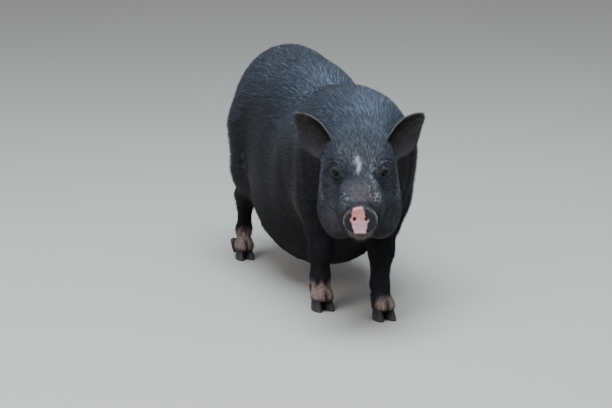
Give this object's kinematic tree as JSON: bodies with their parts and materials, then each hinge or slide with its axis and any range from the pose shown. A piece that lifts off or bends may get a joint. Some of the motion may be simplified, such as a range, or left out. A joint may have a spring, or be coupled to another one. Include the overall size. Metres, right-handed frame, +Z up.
{
  "type": "pot-bellied pig",
  "caption": "Life-size black pot-bellied pig in mid-step, head turned and lowered, ears up, short snout with a flat disc; a still figure that stands on its claws.",
  "frame": {"origin": "on the floor, below the middle of the animal's bounding box", "axes": "+Z up; the animal faces -Y; its left side is towards +X"},
  "size_m": [0.2922, 0.8496, 0.4403],
  "materials": {
    "hide": "short black bristles over black skin, with a soft blue-grey sheen",
    "leg_hide": "short black bristles, pale pinkish grey above three of the feet",
    "ear": "thin dark skin with sparse hair and a paler rim",
    "snout": "moist bare skin, pink with a dark patch on each side",
    "horn": "dark horn, dull, scuffed at the edge",
    "eye": "wet, dark brown"
  },
  "bodies": {
    "root": {"snout_disc": "snout", "eye_right": "eye", "eye_left": "eye", "ear_right": "ear", "ear_left": "ear", "tail": "hide", "claw_fore_right_right": "horn", "dewclaw_fore_right_right": "horn", "claw_fore_right_left": "horn", "dewclaw_fore_right_left": "horn", "claw_fore_left_right": "horn", "dewclaw_fore_left_right": "horn", "claw_fore_left_left": "horn", "dewclaw_fore_left_left": "horn", "claw_hind_right_right": "horn", "dewclaw_hind_right_right": "horn", "claw_hind_right_left": "horn", "dewclaw_hind_right_left": "horn", "claw_hind_left_right": "horn", "dewclaw_hind_left_right": "horn", "claw_hind_left_left": "horn", "dewclaw_hind_left_left": "horn", "head": "hide", "neck": "hide", "trunk": "hide", "foreleg_right": "leg_hide", "foreleg_left": "leg_hide", "hindleg_right": "leg_hide", "hindleg_left": "leg_hide"}
  },
  "joints": []
}
